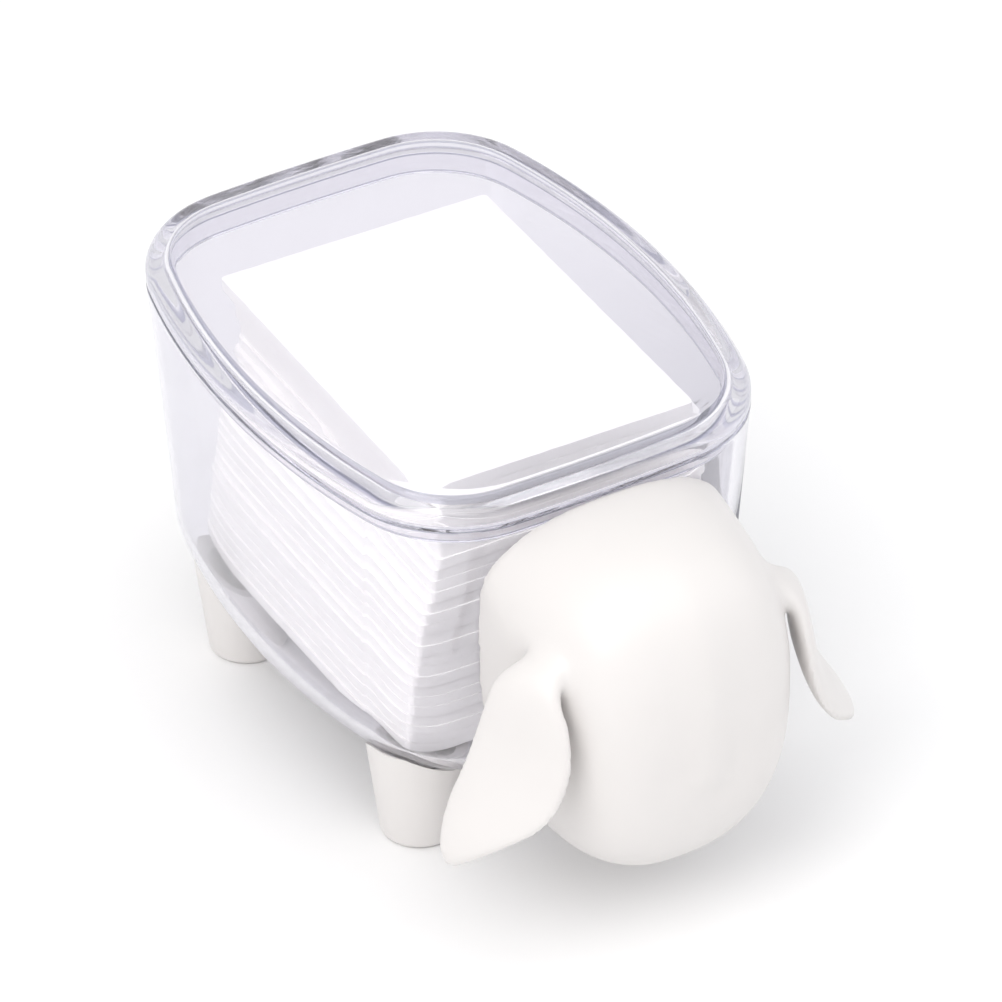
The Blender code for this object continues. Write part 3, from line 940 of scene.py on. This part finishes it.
lights = {
    "keyLeft": {"place": (-0.93, -0.42, 0.86), "size": 0.8, "power": 6.0, "colour": "#FFFCF8"},
    "overhead": {"place": (-0.10, -0.38, 1.15), "size": 1.3, "power": 5.2, "colour": "#FFFFFF"},
    "fillRight": {"place": (0.95, -0.40, 0.65), "size": 1.0, "power": 2.0, "colour": "#FFFFFF"},
}


def makeLights():
    aim = Vector((0, 0, rimZ / 2))
    for name, facts in lights.items():
        lamp = bpy.data.lights.new(name, "AREA")
        lamp.shape = "SQUARE"
        lamp.size = facts["size"]
        lamp.energy = facts["power"]
        lamp.color = hexColour(facts["colour"])[:3]
        made = bpy.data.objects.new(name, lamp)
        made.location = facts["place"]
        made.rotation_mode = "QUATERNION"
        made.rotation_quaternion = (aim - made.location).to_track_quat("-Z", "Y")
        bpy.context.scene.collection.objects.link(made)


def makeSky():
    sky = bpy.data.worlds.new("studioSky")
    bpy.context.scene.world = sky
    sky.use_nodes = True
    tree = sky.node_tree
    background = tree.nodes["Background"]
    direction = addNode(tree, "ShaderNodeTexCoord")
    parts = addNode(tree, "ShaderNodeSeparateXYZ", feeds={"Vector": direction.outputs["Generated"]})
    height = addNode(tree, "ShaderNodeMapRange", feeds={
        "Value": parts.outputs["Z"], "From Max": stage["skyTopFrom"]})
    colour = addNode(tree, "ShaderNodeMix", {"data_type": "RGBA"}, {
        0: height.outputs["Result"], 6: hexColour(stage["skySide"]), 7: hexColour(stage["skyTop"])})
    tree.links.new(colour.outputs[2], background.inputs["Color"])
    background.inputs["Strength"].default_value = stage["skyStrength"]


view = {
    "azimuth": -29.34,
    "elevation": 34.60,
    "roll": -1.255,
    "distance": 1222 * mm,
    "lens": 269.93,
    "sensor": 36.0,
    "clip": (0.1, 10.0),
    "aimRight": 9.17 * mm,  # how far right of and below the rim's middle the photograph is centred
    "aimDown": 27.05 * mm,
}


def makeCamera():
    azimuth, elevation, roll = (math.radians(view[k]) for k in ("azimuth", "elevation", "roll"))
    back = Vector((math.sin(azimuth) * math.cos(elevation), -math.cos(azimuth) * math.cos(elevation),
                   math.sin(elevation)))
    level = Vector((math.cos(azimuth), math.sin(azimuth), 0))
    rise = back.cross(level)
    right = level * math.cos(roll) + rise * math.sin(roll)
    up = rise * math.cos(roll) - level * math.sin(roll)
    pivot = Vector((0, middleY, rimZ))
    place = pivot + back * view["distance"]
    aim = pivot + right * view["aimRight"] - up * view["aimDown"]
    back = (place - aim).normalized()
    up = (up - back * up.dot(back)).normalized()
    right = up.cross(back)
    lens = bpy.data.cameras.new("photoView")
    lens.sensor_width = view["sensor"]
    lens.lens = view["lens"]
    lens.clip_start, lens.clip_end = view["clip"]
    camera = bpy.data.objects.new("photoView", lens)
    camera.matrix_world = Matrix.Translation(place) @ Matrix((right, up, back)).transposed().to_4x4()
    bpy.context.scene.collection.objects.link(camera)
    bpy.context.scene.camera = camera


makeFloor()
makePaintedShadowSheet()
makeLights()
makeSky()
makeCamera()
bpy.context.scene.view_settings.view_transform = "Standard"
bpy.context.scene.cycles.max_bounces = stage["bounces"]
bpy.context.scene.cycles.transmission_bounces = stage["bounces"]
bpy.context.scene.cycles.glossy_bounces = stage["glossyBounces"]
